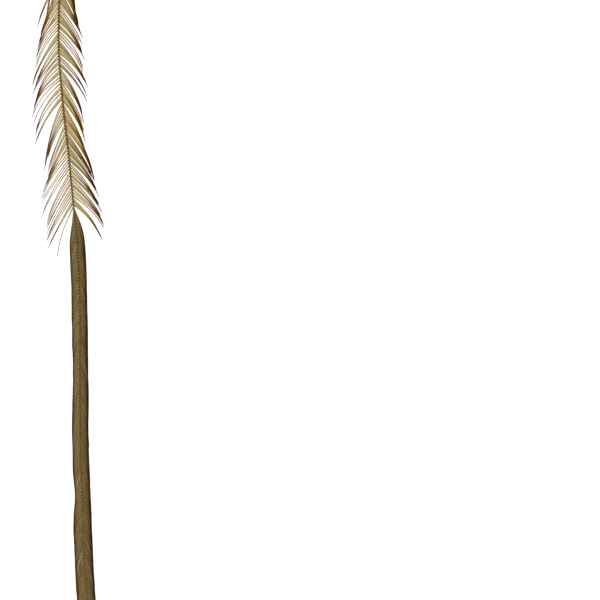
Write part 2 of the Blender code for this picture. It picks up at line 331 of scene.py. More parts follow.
def tube_faces(stations: int, sides: int, margin: float) -> MeshParts:
    """Faces of one closed tube, and their places in a unit square of the bake map.

    Point j * sides + k is corner k of ring j, and the two last points close its ends. Rings
    fill the map from 0.05 to 0.95 one way, and corners from the margin to one minus it.

    Args:
        stations: rings along the tube.
        sides: corners of a ring.
        margin: free share of the map on either side.

    Returns:
        Mesh parts without points or values.
    """
    j, k = np.meshgrid(np.arange(stations - 1), np.arange(sides), indexing="ij")
    j, k = j.ravel(), k.ravel()
    k_next = (k + 1) % sides
    quads = np.stack([j * sides + k, j * sides + k_next,
                      (j + 1) * sides + k_next, (j + 1) * sides + k], axis=1)
    place = 0.05 + 0.90 * np.stack([j, j, j + 1, j + 1], axis=1) / (stations - 1)
    turn = np.stack([k, k + 1, k + 1, k], axis=1)
    around = np.arange(sides)
    around_next = (around + 1) % sides
    root, tip, last = stations * sides, stations * sides + 1, (stations - 1) * sides
    start_fan = np.stack([np.full(sides, root), around_next, around], axis=1)
    end_fan = np.stack([np.full(sides, tip), last + around, last + around_next], axis=1)
    fan_place = np.repeat([[0.0, 0.05, 0.05], [1.0, 0.95, 0.95]], sides, axis=0)
    fan_turn = np.stack([around + 0.5, around + 1, around], axis=1)
    fan_turn = np.concatenate([fan_turn, fan_turn[:, [0, 2, 1]]])
    spread = (1 - 2 * margin) / sides
    return MeshParts(np.zeros((0, 3)), quads, np.concatenate([start_fan, end_fan]),
                     np.stack([place, margin + spread * turn], axis=-1),
                     np.stack([fan_place, margin + spread * fan_turn], axis=-1))


def strands(centres: Array, across: Array, up: Array, widths: Array, heights: Array,
            sides: int, columns: int, values: dict[str, Array]) -> MeshParts:
    """Closed tapering tubes, one for each strand.

    At station j and angle a, the skin is centre + across * width * cos a + up * height * sin a.
    A point closes each end.

    Args:
        centres: strand by station by coordinate.
        across: unit directions across each strand, of the same shape.
        up: unit directions out of its flat side, of the same shape.
        widths: half widths, strand by station.
        heights: half thicknesses, strand by station.
        sides: corners of a section.
        columns: strands side by side in the bake map.
        values: named numbers, strand by station, kept on the points.

    Returns:
        The arrays of one mesh that holds every strand.
    """
    count, stations = widths.shape
    angle = np.arange(sides) * 2 * np.pi / sides
    ring = (centres[:, :, None]
            + across[:, :, None] * (widths[:, :, None] * np.cos(angle))[..., None]
            + up[:, :, None] * (heights[:, :, None] * np.sin(angle))[..., None])
    points = np.concatenate([ring.reshape(count, -1, 3), centres[:, [0, -1]]], axis=1)
    one = tube_faces(stations, sides, 0.10)
    offset = np.arange(count)[:, None, None] * points.shape[1]
    origin, size = cell_origins(count, columns)
    origin = origin[:, None, None]
    kept = {}
    for name, number in values.items():
        spread = np.broadcast_to(number, (count, stations))
        on_rings = np.repeat(spread, sides, axis=1)
        kept[name] = np.concatenate([on_rings, spread[:, [0, -1]]], axis=1).ravel()
    return MeshParts(points.reshape(-1, 3), (one.quads + offset).reshape(-1, 4),
                     (one.triangles + offset).reshape(-1, 3),
                     (one.quad_map * size + origin).reshape(-1, 4, 2),
                     (one.triangle_map * size + origin).reshape(-1, 3, 2), kept)


def slivers(base: Array, tip: Array, width: Array, values: dict[str, Array],
            rise: float = 0.35, keel: float = 1.6) -> MeshParts:
    """Closed three-sided spikes from a small triangle at the base to a point at the tip.

    The triangle's corners are base +- width * along + thickness * up, where along is level
    and square to the spike and thickness is rise * width, and base - keel * thickness * up.

    Args:
        base: spike by coordinate.
        tip: spike by coordinate.
        width: half width of each base.
        values: named numbers, one for each spike.
        rise: the triangle's thickness as a share of its half width.
        keel: how much farther down its lower corner lies than its upper ones lie up.

    Returns:
        The arrays of one mesh that holds every spike.
    """
    count = len(base)
    direction = unit(tip - base)
    level = unit(np.stack([-direction[:, 1], direction[:, 0], np.zeros(count)], axis=1))
    up = np.array([0.0, 0.0, rise]) * width[:, None]
    corners = np.stack([base + level * width[:, None] + up, base - up * keel,
                        base - level * width[:, None] + up, tip], axis=1)
    faces = np.array([[0, 1, 2], [1, 0, 3], [2, 1, 3], [0, 2, 3]])
    k = np.arange(3)
    place = np.array([[0.0, 0.09, 0.09]] + [[0.1, 0.1, 0.95]] * 3)
    side_turn = 0.08 + 0.84 * np.stack([k + 1, k, k + 0.5], axis=1) / 3
    turn = np.concatenate([[[0.5, 0.92, 0.08]], side_turn])
    origin, size = cell_origins(count, SPIKE_COLUMNS)
    spots = np.stack([place, turn], axis=-1) * size + origin[:, None, None]
    offset = np.arange(count)[:, None, None] * 4
    kept = {name: np.repeat(number, 4) for name, number in values.items()}
    return MeshParts(corners.reshape(-1, 3), np.zeros((0, 4), int),
                     (faces + offset).reshape(-1, 3), np.zeros((0, 4, 2)),
                     spots.reshape(-1, 3, 2), kept)


def put_in_scene(name: str, data: bpy.types.ID) -> bpy.types.Object:
    """A new object in the scene for a mesh, a light or a camera.

    Args:
        name: the object's name.
        data: what it shows.

    Returns:
        The object.
    """
    made = bpy.data.objects.new(name, data)
    bpy.context.scene.collection.objects.link(made)
    return made


def make_piece(name: str, parts: MeshParts, material: bpy.types.Material) -> None:
    """Object from mesh arrays in millimetres, riding with the feather and standing for it.

    Args:
        name: the piece's name.
        parts: the arrays of its mesh.
        material: its finish.
    """
    mesh = bpy.data.meshes.new(name)
    faces = parts.quads.tolist() + parts.triangles.tolist()
    mesh.from_pydata((parts.points * MM).tolist(), [], faces)
    spots = np.concatenate([parts.quad_map.reshape(-1, 2), parts.triangle_map.reshape(-1, 2)])
    bake = mesh.uv_layers.new(name="OFBake")
    bake.uv.foreach_set("vector", spots.astype(np.float32).ravel())
    for key, numbers in parts.values.items():
        layer = mesh.attributes.new(key, "FLOAT", "POINT")
        layer.data.foreach_set("value", numbers.astype(np.float32))
    mesh.shade_smooth()
    mesh.validate()
    mesh.materials.append(material)
    piece = put_in_scene(name, mesh)
    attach(piece, BODY)
    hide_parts(NODE)
    LOG.info("%s: %d faces, %d triangles", name, len(faces),
             2 * len(parts.quads) + len(parts.triangles))


@dataclass
class OpenVane:
    """One side's free barbs, from the down to where the blade closes.

    A lock's middle barb is a quadratic curve that bows out from the straight line between its
    root and its tip. A barb beside it is that curve shifted along the shaft. Barbs of one tuft
    turn into the tuft's middle barb first, and then tufts turn into the lock's middle barb,
    ahead of it or behind it, so that the tips follow one another.
    """

    plan: FeatherPlan
    side: Side
    locks: tuple[Lock, ...]
    seed: int
    tuft_break: float
    half_width: float
    tip_half_width: float
    spacing: float = BARB_SPACING
    root_scatter: float = 0.07
    gathered_by: float = 1.02
    tight_gathered_by: float = 0.58
    tuft_gathered_by: float = 0.78
    soonest_meeting: float = 0.25
    least_front: float = 0.2
    tuft_gathers: tuple[float, float] = (0.80, 0.96)
    whole_from: float = 0.94
    tight_from: float = 0.97
    loose_from: float = 0.90
    loose_over: float = 0.40
    tip_shade: float = 0.0
    edge_shade: float = 0.30
    inner_light: float = 1.25
    loose_light: float = 0.36
    stations: int = 22
    station_power: float = 1.3
    corners: int = 6
    inner_width: float = 1.50
    even_from: float = 0.55
    tip_point: float = 0.85
    half_thickness: float = 0.032
    tip_thickness: float = 0.25
    bundle: float = 0.058
    bundle_closes: float = 0.6
    sway: float = 0.030
    sway_turns: float = 1.1
    shortest: float = 0.90
    rest_height: float = 0.06
    drop_power: float = 0.8
    lift: float = 0.04
    pile: float = 0.02
    dark_root: float = 0.025
    dark_root_shade: float = 0.9
    dark_root_reach: float = 1.8
    web_step: float = 0.037
    web_lead: float = 0.012
    web_starts: float = 0.030
    web_ends: float = 0.50
    whole_web_ends: float = 0.62
    fringe_ends: tuple[float, float] = (0.12, 0.32)
    web_crosses: tuple[float, float] = (0.85, 1.0)
    fringe_crosses: tuple[float, float] = (0.34, 0.50)
    fringe_fade: float = 1.6
    fringe_shortest: float = 0.3
    web_jitter: float = 0.002
    web_height_scatter: float = 0.01
    web_half_width: float = 0.026
    fringe_half_width: float = 0.017
    web_shade: float = 0.75
    fringe_root_shade: float = 0.45
    fringe_shade: float = 0.4
    barb: dict[str, Array] = field(default_factory=dict)

    def __post_init__(self) -> None:
        """Lays out the roots along the shaft and gives each barb its lock, tuft and chances."""
        rng = np.random.default_rng(self.seed)
        table = np.array([astuple(lock) for lock in self.locks])
        first = 0.75 if self.side is Side.RIGHT else 0.25
        roots = np.arange(table[:, 0].max() - first * self.spacing, table[:, 1].min(),
                          -self.spacing)
        scatter = self.root_scatter
        roots = roots + rng.uniform(-scatter, scatter, len(roots)) * self.spacing
        inside = (table[:, 1] <= roots[:, None]) & (roots[:, None] <= table[:, 0])
        roots = roots[inside.any(axis=1)]
        owner = inside[inside.any(axis=1)].argmax(axis=1)
        own = table[owner]
        count = len(roots)
        middle = 0.5 * (own[:, 0] + own[:, 1])
        back = roots - middle
        front = np.full(len(table), -np.inf)
        np.maximum.at(front, owner, -back)
        starts = np.diff(owner, prepend=-1) != 0
        loose = rng.random(count) < np.where(own[:, 4] < 0, 1.0, self.tuft_break)
        loose &= own[:, 4] < self.whole_from
        tuft = np.cumsum(starts | loose) - 1
        tuft_back = (np.bincount(tuft, back) / np.bincount(tuft))[tuft]
        leads = np.diff(owner, append=-1) != 0
        apart = np.diff(tuft) != 0
        edge = 0.5 * (np.append(apart, True).astype(float) + np.append(True, apart))
        self.barb = {
            "lock": owner, "tuft": tuft, "middle": middle, "back": back, "edge": edge,
            "tuft_back": tuft_back, "front": front[owner],
            "size": np.bincount(owner)[owner].astype(float),
            "tip_x": own[:, 2] + self.plan.centre_shift, "tip_y": own[:, 3],
            "gather": own[:, 4], "bow": own[:, 5],
            "tuft_gather": rng.uniform(*self.tuft_gathers, count),
            "reach": np.where(leads, 1.0, rng.uniform(self.shortest, 1.0, count)),
            "lift": rng.uniform(-1.0, 1.0, count), "wave": rng.normal(0.0, self.sway, count),
            "phase": rng.uniform(0, 2 * np.pi, count),
            "tone": rng.normal(0.0, 1.0, count).clip(-TONE_LIMIT, TONE_LIMIT),
        }

    def points(self, index: Array, t: Array) -> Array:
        """Places on barbs.

        Args:
            index: numbers of the barbs, n of them.
            t: n by m fractions of the way from root to tip.

        Returns:
            n by m by 3 coordinates.
        """
        b = {key: number[index][:, None] for key, number in self.barb.items()}
        root = self.plan.shaft_points(b["middle"])
        tip = np.stack([b["tip_x"], b["tip_y"]], axis=-1)
        chord = tip - root
        length = np.linalg.norm(chord, axis=-1)
        lean = -chord[..., 1] / length
        normal = self.side.value * np.stack([-chord[..., 1], chord[..., 0]], axis=-1)
        outward = normal / length[..., None]
        bend = 0.5 * (root + tip) + 2 * b["bow"][..., None] * outward
        own = t * b["reach"]
        tight = b["gather"] >= self.tight_from
        meeting = np.where(tight, self.tight_gathered_by, self.gathered_by)
        meeting = np.maximum(meeting + b["back"] * lean / length, self.soonest_meeting)
        drawing = np.where(tight, closing(own / meeting), late_step(own / meeting))
        pulled = b["gather"] * drawing
        tufted = np.maximum(pulled, b["tuft_gather"] * smooth_step(own / self.tuft_gathered_by))
        beside = b["tuft_back"] * (1 - pulled) + (b["back"] - b["tuft_back"]) * (1 - tufted)
        drawn = np.where(b["gather"] > 0, lean / length, 0.0)
        at = (own * (1.0 - b["front"] * drawn) - (b["back"] - beside) * drawn)[..., None]
        flat = (1 - at) ** 2 * root + 2 * at * (1 - at) * bend + at**2 * tip
        flat = flat + self.plan.shaft_points(b["middle"] + beside) - root
        share = b["back"] / np.maximum(b["front"], self.least_front)
        spread = share * self.bundle * np.sqrt(b["size"]) * pulled
        spread = spread * (1 - self.bundle_closes * own**2)
        swing = b["wave"] * np.sin(self.sway_turns * 2 * np.pi * own + b["phase"]) * own
        flat = flat + outward * (spread + swing)[..., None]
        root_z = self.plan.shaft_z(b["middle"])
        z = root_z + (self.rest_height - root_z) * smooth_step(own) ** self.drop_power
        z = z + self.lift * b["lift"] * np.sin(np.pi * own) + self.pile * share * pulled
        return np.concatenate([flat, z[..., None]], axis=-1)

    def barbs(self) -> MeshParts:
        """The rami with the barbules that lie along them: flat strands, broader near the shaft.

        Their ends narrow as 1 - t to the sixth, and come to a point as 1 - 0.85 t to the 24th.
        Barbs at a tuft's edge darken sooner than those inside it, those of a loose lock stay
        lighter, and each root is dark.

        Returns:
            The arrays of one mesh that holds every barb.
        """
        count = len(self.barb["back"])
        t = np.linspace(0.0, 1.0, self.stations) ** self.station_power
        t = np.broadcast_to(t, (count, self.stations))
        centres = self.points(np.arange(count), t)
        along, across = along_and_across(centres)
        taper = 1 - t**6
        width = self.tip_half_width + (self.half_width - self.tip_half_width) * taper
        width = width * (1 + (self.inner_width - 1) * (1 - smooth_step(t / self.even_from)))
        width = width * (1 - self.tip_point * t**24)
        thickness = self.half_thickness * (self.tip_thickness + (1 - self.tip_thickness) * taper)
        edge = self.barb["edge"][:, None]
        gather = self.barb["gather"][:, None]
        loose = np.clip((self.loose_from - gather) / self.loose_over, 0.0, 1.0)
        shade = t * (1 - self.inner_light * (1 - edge) * (1 - t) ** 2)
        shade = shade + self.edge_shade * edge * (1 - t) ** 2
        shade = shade * (1 - self.loose_light * loose * t) + self.tip_shade * (1 - loose) * t
        root = np.clip(self.dark_root_reach - t / self.dark_root, 0.0, 1.0)
        shade = np.maximum(shade, self.dark_root_shade * root)
        return strands(centres, across, np.cross(along, across), width, thickness, self.corners,
                       STRAND_COLUMNS, {"along": shade, "tone": self.barb["tone"][:, None]})

    def web(self) -> MeshParts:
        """Barbules: spikes from each barb to its neighbour.

        In one tuft they cross the whole gap from both sides, and between tufts they are a
        short fringe near the shaft, so that a slit stays open.

        Returns:
            The arrays of one mesh that holds every barbule.
        """
        rng = np.random.default_rng(self.seed + 1)
        tuft, gather = self.barb["tuft"], self.barb["gather"]
        pairs = np.arange(len(tuft) - 1)
        closed = tuft[:-1] == tuft[1:]
        whole = np.where(gather[:-1] >= self.whole_from, self.whole_web_ends, self.web_ends)
        length = np.where(closed, whole, rng.uniform(*self.fringe_ends, len(pairs)))
        step = self.web_step / BARB_LENGTH
        stations = np.arange(self.web_starts, self.whole_web_ends, step)
        pair, t = np.meshgrid(pairs, stations, indexing="ij")
        kept = t < length[pair]
        pair = np.tile(pair[kept], 2)
        t = np.tile(t[kept], 2)
        back = np.repeat([False, True], kept.sum())
        t = t + rng.uniform(-self.web_jitter, self.web_jitter, len(t))
        t = t + np.where(back, 0.5 * step, 0)
        start, other = np.where(back, pair + 1, pair), np.where(back, pair, pair + 1)
        base = self.points(start, t[:, None])[:, 0]
        aim = self.points(other, (t + self.web_lead)[:, None])[:, 0]
        fade = np.clip(self.fringe_fade * (1 - t / length[pair]), self.fringe_shortest, 1.0)
        part = np.where(closed[pair], rng.uniform(*self.web_crosses, len(t)),
                        rng.uniform(*self.fringe_crosses, len(t)) * fade)
        tip = base + (aim - base) * part[:, None]
        scatter = self.web_height_scatter
        tip[:, 2] += rng.uniform(-scatter, scatter, len(t))
        width = np.where(closed[pair], self.web_half_width, self.fringe_half_width)
        fringe_shade = self.fringe_root_shade + self.fringe_shade * t
        shade = np.where(closed[pair], self.web_shade * t, fringe_shade)
        return slivers(base, tip, width, {"along": shade, "tone": self.barb["tone"][pair]})


@dataclass
class DownVane(OpenVane):
    """One side's down: fine, wavy, pale barbs with long loose barbules."""

    spacing: float = 0.30
    tuft_break: float = 1.0
    gathered_by: float = 0.90
    stations: int = 26
    corners: int = 4
    half_width: float = 0.026
    tip_half_width: float = 0.007
    inner_width: float = 1.2
    dark_root: float = 0.004
    half_thickness: float = 0.020
    sway: float = 0.16
    shortest: float = 0.70
    fluff_starts: float = 0.06
    fluff_ends: float = 0.98
    fluff_step: float = 0.050
    fluff_length: float = 0.55
    fluff_half_width: float = 0.010
    fluff_turn: float = 0.96
    fluff_turn_scatter: float = 0.22
    fluff_lengths: tuple[float, float] = (0.5, 1.1)
    fluff_shortens: float = 0.6
    fluff_height_scatter: float = 0.06
    fluff_lowest: float = 0.03
    down_length: float = 4.5

    def fluff(self) -> MeshParts:
        """Loose barbules: spikes at about 55 degrees to the barb, on both of its sides.

        Returns:
            The arrays of one mesh that holds every barbule.
        """
        rng = np.random.default_rng(self.seed + 2)
        count = len(self.barb["back"])
        t = np.arange(self.fluff_starts, self.fluff_ends, self.fluff_step / self.down_length)
        t = np.broadcast_to(t, (count, len(t)))
        centres = self.points(np.arange(count), t)
        along, across = along_and_across(centres)
        sides = np.array([-1.0, 1.0])[:, None, None]
        turn = rng.normal(self.fluff_turn, self.fluff_turn_scatter, (2, *t.shape))
        reach = self.fluff_length * (1 - self.fluff_shortens * t)
        reach = reach * rng.uniform(*self.fluff_lengths, turn.shape)
        way = (along * np.cos(turn)[..., None]
               + across * (sides * np.sin(turn))[..., None])
        tip = centres + way * reach[..., None]
        base = np.broadcast_to(centres, tip.shape).reshape(-1, 3)
        tip = tip.reshape(-1, 3).copy()
        height = tip[:, 2] + rng.normal(0.0, self.fluff_height_scatter, len(tip))
        tip[:, 2] = np.maximum(height, self.fluff_lowest)
        place = np.broadcast_to(t, turn.shape).ravel()
        tone = np.broadcast_to(self.barb["tone"][:, None], turn.shape).ravel()
        width = np.full(len(tip), self.fluff_half_width)
        return slivers(base, tip, width, {"along": place, "tone": tone})


@dataclass
class FoldedVane:
    """One side's barbs where the vane has closed along the shaft.

    A barb rooted at y lies at distance u down the shaft and, beside it, at the blade's half
    width times 1 - exp(-u / fold), so the blade's edge is made of the barbs' outer halves.
    """

    plan: FeatherPlan
    side: Side
    seed: int
    first_root: float = 0.05
    last_root: float = 1.6
    lengths: tuple[float, float] = (0.86, 1.04)
    tip_room: float = 0.35
    fold: float = 1.7
    first_fold: float = 0.5
    fold_opens_over: float = 1.2
    narrowing: float = 0.16
    narrowing_power: float = 2.5
    sway: float = 0.018
    edge_height: float = 0.07
    edge_drop: float = 0.03
    layering: float = 0.02
    root_lift: float = 0.05
    lowest: float = 0.03
    stations: int = 16
    station_power: float = 1.5
    corners: int = 4
    root_half_width: float = 0.085
    root_narrows: float = 6.0
    mid_half_width: float = 0.046
    tip_half_width: float = 0.010
    half_thickness: float = 0.020
    thinning: float = 0.6
    # Painted glints: a few folded barbs get a pale streak part way along them that stands for a
    # highlight.
    glint_chance: float = 0.07
    glint_at: float = 0.25
    glint_over: float = 0.16
    glint_strengths: tuple[float, float] = (0.3, 1.0)
    barb: dict[str, Array] = field(default_factory=dict)

    def __post_init__(self) -> None:
        """Lays out the roots and gives each barb its length, its width and its chances."""
        rng = np.random.default_rng(self.seed)
        spacing = 0.5 * BARB_SPACING
        roots = np.arange(self.plan.blade_starts - self.first_root,
                          self.plan.tip + self.last_root, -spacing)
        if self.side is Side.RIGHT:
            roots = roots - 0.5 * spacing
        count = len(roots)
        room = roots - self.plan.tip - self.tip_room
        opening = np.exp(-(self.plan.blade_starts - roots) / self.fold_opens_over)
        self.barb = {
            "root": roots, "fold": self.fold + (self.first_fold - self.fold) * opening,
            "length": np.minimum(BARB_LENGTH * rng.uniform(*self.lengths, count), room),
            "share": 1.0 - self.narrowing * rng.random(count) ** self.narrowing_power,
            "lift": rng.uniform(-1.0, 1.0, count), "phase": rng.uniform(0, 2 * np.pi, count),
            "wave": rng.normal(0.0, self.sway, count),
            "tone": rng.normal(0.0, 1.0, count).clip(-TONE_LIMIT, TONE_LIMIT),
            # Each barb's strength of painted glint, zero for most barbs.
            "pale": (rng.random(count) < self.glint_chance)
            * rng.uniform(*self.glint_strengths, count),
        }

    def points(self, index: Array, t: Array) -> Array:
        """Places on barbs.

        Args:
            index: numbers of the barbs, n of them.
            t: n by m fractions of the way from root to tip.

        Returns:
            n by m by 3 coordinates.
        """
        b = {key: number[index][:, None] for key, number in self.barb.items()}
        down = b["length"] * t
        y = b["root"] - down
        out = (1.0 - np.exp(-down / b["fold"])) * b["share"]
        half = self.plan.half_width(y, self.side) + 0.5 * self.mid_half_width
        sway = b["wave"] * np.sin(2 * np.pi * t + b["phase"]) * t
        x = self.plan.shaft_x(y) + self.side.value * (half * out + sway)
        top = self.plan.shaft_z(y)
        low = self.edge_height
        low = low + (top - low - self.edge_drop) * self.plan.rise(y)
        z = low + (top - low) * roof(out)
        z = z + self.layering * b["lift"] + self.root_lift * (1.0 - t) * np.minimum(down, 1.0)
        return np.stack([x, y, np.maximum(z, self.lowest)], axis=-1)

    def barbs(self) -> MeshParts:
        """The folded rami: broad beside the shaft, and narrowing as 1 - t to the fourth.

        Returns:
            The arrays of one mesh that holds every barb.
        """
        count = len(self.barb["root"])
        t = np.linspace(0.0, 1.0, self.stations) ** self.station_power
        t = np.broadcast_to(t, (count, self.stations))
        centres = self.points(np.arange(count), t)
        along, across = along_and_across(centres)
        near = np.exp(-self.root_narrows * t)
        width = self.mid_half_width + (self.root_half_width - self.mid_half_width) * near
        width = self.tip_half_width + (width - self.tip_half_width) * (1 - t**4)
        thickness = self.half_thickness * (1 - self.thinning * t)
        # The painted glint is strongest part way along the barb and fades to either side.
        pale = np.exp(-(((t - self.glint_at) / self.glint_over) ** 2))
        return strands(centres, across, np.cross(along, across), width, thickness,
                       self.corners, STRAND_COLUMNS,
                       {"along": t, "tone": self.barb["tone"][:, None],
                        "pale": self.barb["pale"][:, None] * pale})


@dataclass
class UnderVane(FoldedVane):
    """The same barbs as they show from below: ribs half sunk in the blade's underside."""

    clearance: float = 0.002

    def points(self, index: Array, t: Array) -> Array:
        """The folded barbs' places, at the height of the blade's underside."""
        x, y, _ = np.moveaxis(super().points(index, t), -1, 0)
        return np.stack([x, y, self.plan.underside(y) + self.clearance], axis=-1)


@dataclass
class Lining:
    """The closed web under the folded barbs: a low roof as wide as the blade.

    Across the blade, s runs from -1 to 1, and the top is the roof's section of |s|.
    """

    plan: FeatherPlan
    step: float = 0.4
    inset: float = 0.96
    across: int = 12
    first: float = 0.05
    last: float = 0.8
    edge_thickness: float = 0.012
    edge_shade: float = 0.46
    end_shade: float = 0.1

    def skin(self) -> MeshParts:
        """The roof and its flat underside as one closed grid, with a point at each end.

        Returns:
            The arrays of the lining's mesh.
        """
        start, end = self.plan.blade_starts - self.first, self.plan.tip + self.last
        y = np.linspace(start, end, int((start - end) / self.step))
        turn = np.linspace(0.0, 2 * np.pi, 2 * self.across, endpoint=False)
        s = np.cos(turn)
        upper = np.sin(turn) >= 0
        left = self.plan.half_width(y, Side.LEFT)[:, None]
        right = self.plan.half_width(y, Side.RIGHT)[:, None]
        x = self.plan.shaft_x(y)[:, None] + self.inset * np.where(s < 0, left * s, right * s)
        top = self.plan.lining_top(y)[:, None]
        bottom = self.plan.underside(y)[:, None]
        out = np.abs(s)
        z = np.where(upper, bottom + (top - bottom) * roof(out) + self.edge_thickness, bottom)
        ring = np.stack([x, np.broadcast_to(y[:, None], x.shape), z], axis=-1)
        points = np.concatenate([ring.reshape(-1, 3), ring[[0, -1]].mean(axis=1)])
        faces = tube_faces(*x.shape, 0.0)
        shade = np.broadcast_to(self.edge_shade * out**2, x.shape).ravel()
        values = {"along": np.concatenate([shade, [self.end_shade] * 2]), "tone": np.zeros(len(points))}
        return MeshParts(points, faces.quads, faces.triangles, faces.quad_map,
                         faces.triangle_map, values)


@dataclass
class Shaft:
    """The rachis and the bare quill: a round tapering tube, nicked where each barb leaves it.

    The radius is the plan's, plus a ripple with one swelling for each barb on either side.
    """

    plan: FeatherPlan
    per_barb: int = 6
    sides: int = 12
    ripple: float = 0.016
    most_ripple: float = 0.3
    fit: float = 0.985
    start: float = 0.05
    short_by: float = 0.35
    barbed_over: float = 2.0
    closed_over: float = 3.0

    def skin(self) -> MeshParts:
        """The tube as one strand from the quill's end to the tip.

        Returns:
            The arrays of the shaft's mesh.
        """
        length = self.plan.quill_end - self.plan.tip - self.short_by
        count = int(length / BARB_SPACING * self.per_barb)
        y = self.plan.quill_end - self.start - np.linspace(0.0, length, count)
        centres = np.stack([self.plan.shaft_x(y), y, self.plan.shaft_z(y)], axis=-1)[None]
        along, across = along_and_across(centres)
        barbed = smooth_step((self.plan.down_starts - y) / self.barbed_over)
        closed = smooth_step((self.plan.blade_starts - y) / self.closed_over)
        turns = (self.plan.quill_end - y) / BARB_SPACING
        nick = 0.5 - 0.5 * np.sin(2 * np.pi * turns)
        radius = self.plan.shaft_radius(y) * self.fit
        depth = np.minimum(self.ripple, self.most_ripple * radius)
        radius = (radius - depth * nick * barbed)[None]
        return strands(centres, across, np.cross(along, across), radius, radius, self.sides, 1,
                       {"along": turns[None], "tone": (1.0 - barbed)[None],
                        "blade": closed[None]})


class NodeBuilder:
    """Short calls for one shader node tree."""

    def __init__(self, tree: bpy.types.NodeTree) -> None:
        """Keeps the tree."""
        self.tree = tree

    def node(self, kind: str, **settings: object) -> bpy.types.Node:
        """A new node with its properties set.

        Args:
            kind: the node's type.
            **settings: its properties by name.

        Returns:
            The node.
        """
        made = self.tree.nodes.new(kind)
        for key, setting in settings.items():
            setattr(made, key, setting)
        return made

    def feed(self, socket: bpy.types.NodeSocket, source: object) -> None:
        """Links a socket to a source that is a socket, and sets its value to any other.

        Args:
            socket: the input to feed.
            source: an output, a number or a colour.
        """
        if isinstance(source, bpy.types.NodeSocket):
            self.tree.links.new(source, socket)
        else:
            socket.default_value = source

    def number(self, name: str) -> bpy.types.NodeSocket:
        """The value that the mesh keeps under a name."""
        return self.node("ShaderNodeAttribute", attribute_name=name).outputs["Fac"]

    def noise(self, scale: object, detail: float) -> bpy.types.NodeSocket:
        """Noise over the piece's own coordinates.

        Args:
            scale: how fine it is.
            detail: how many finer layers it has.

        Returns:
            The noise, from zero to one.
        """
        made = self.node("ShaderNodeTexNoise")
        self.feed(made.inputs["Vector"], self.node("ShaderNodeTexCoord").outputs["Object"])
        self.feed(made.inputs["Scale"], scale)
        self.feed(made.inputs["Detail"], detail)
        return made.outputs["Fac"]

    def math(self, operation: str, *sources: object) -> bpy.types.NodeSocket:
        """The result of a math node.

        Args:
            operation: what it does.
            *sources: its inputs in order.

        Returns:
            The result.
        """
        made = self.node("ShaderNodeMath", operation=operation)
        for socket, source in zip(made.inputs, sources):
            self.feed(socket, source)
        return made.outputs[0]

    def blend(self, factor: object, first: object, second: object,
              way: str = "MIX") -> bpy.types.NodeSocket:
        """Two colours mixed.

        Args:
            factor: the second colour's share.
            first: the first colour.
            second: the second colour.
            way: how they mix.

        Returns:
            The mixed colour.
        """
        made = self.node("ShaderNodeMix", data_type="RGBA", blend_type=way)
        self.feed(made.inputs[0], factor)
        self.feed(made.inputs[6], first)
        self.feed(made.inputs[7], second)
        return made.outputs[2]

    def ramp(self, factor: object, stops: tuple) -> bpy.types.NodeSocket:
        """A colour read from stops.

        Args:
            factor: the position to read.
            stops: pairs of a position and a colour, with rising position.

        Returns:
            The colour.
        """
        made = self.node("ShaderNodeValToRGB")
        elements = made.color_ramp.elements
        while len(elements) < len(stops):
            elements.new(0.5)
        for element, (position, colour) in zip(elements, stops):
            element.position = position
            element.color = (*colour, 1.0)
        self.feed(made.inputs[0], factor)
        return made.outputs[0]


def streak_group() -> bpy.types.NodeTree:
    """Node group that varies a colour in fine streaks, in wider patches and by its own tone.

    Inputs are Color, Tone, Scale and Strength; outputs are the new Color and the streaks'
    Height for a bump. The wider patches lean towards green or towards red.

    Returns:
        The group's node tree.
    """
    group = bpy.data.node_groups.new("keratin_streaks", "ShaderNodeTree")
    for name, kind in (("Color", "NodeSocketColor"), ("Tone", "NodeSocketFloat"),
                       ("Scale", "NodeSocketFloat"), ("Strength", "NodeSocketFloat")):
        group.interface.new_socket(name=name, in_out="INPUT", socket_type=kind)
    for name, kind in (("Color", "NodeSocketColor"), ("Height", "NodeSocketFloat")):
        group.interface.new_socket(name=name, in_out="OUTPUT", socket_type=kind)
    make = NodeBuilder(group)
    given = make.node("NodeGroupInput").outputs
    fine = make.noise(given["Scale"], 3.0)
    patch = make.noise(make.math("MULTIPLY", given["Scale"], 0.28), 1.0)
    swing = make.math("MULTIPLY", make.math("SUBTRACT", fine, 0.5), 2.0)
    swing = make.math("ADD", swing, make.math("MULTIPLY", given["Tone"], 0.35))
    factor = make.math("ADD", make.math("MULTIPLY", swing, given["Strength"]), 1.0)
    tint = make.ramp(patch, ((0.36, (0.96, 1.02, 0.97)), (0.64, (1.05, 0.98, 1.00))))
    tinted = make.blend(1.0, given["Color"], tint, "MULTIPLY")
    scaled = make.node("ShaderNodeVectorMath", operation="SCALE")
    make.feed(scaled.inputs[0], tinted)
    make.feed(scaled.inputs["Scale"], factor)
    put = make.node("NodeGroupOutput").inputs
    make.feed(put["Color"], scaled.outputs[0])
    make.feed(put["Height"], fine)
    return group


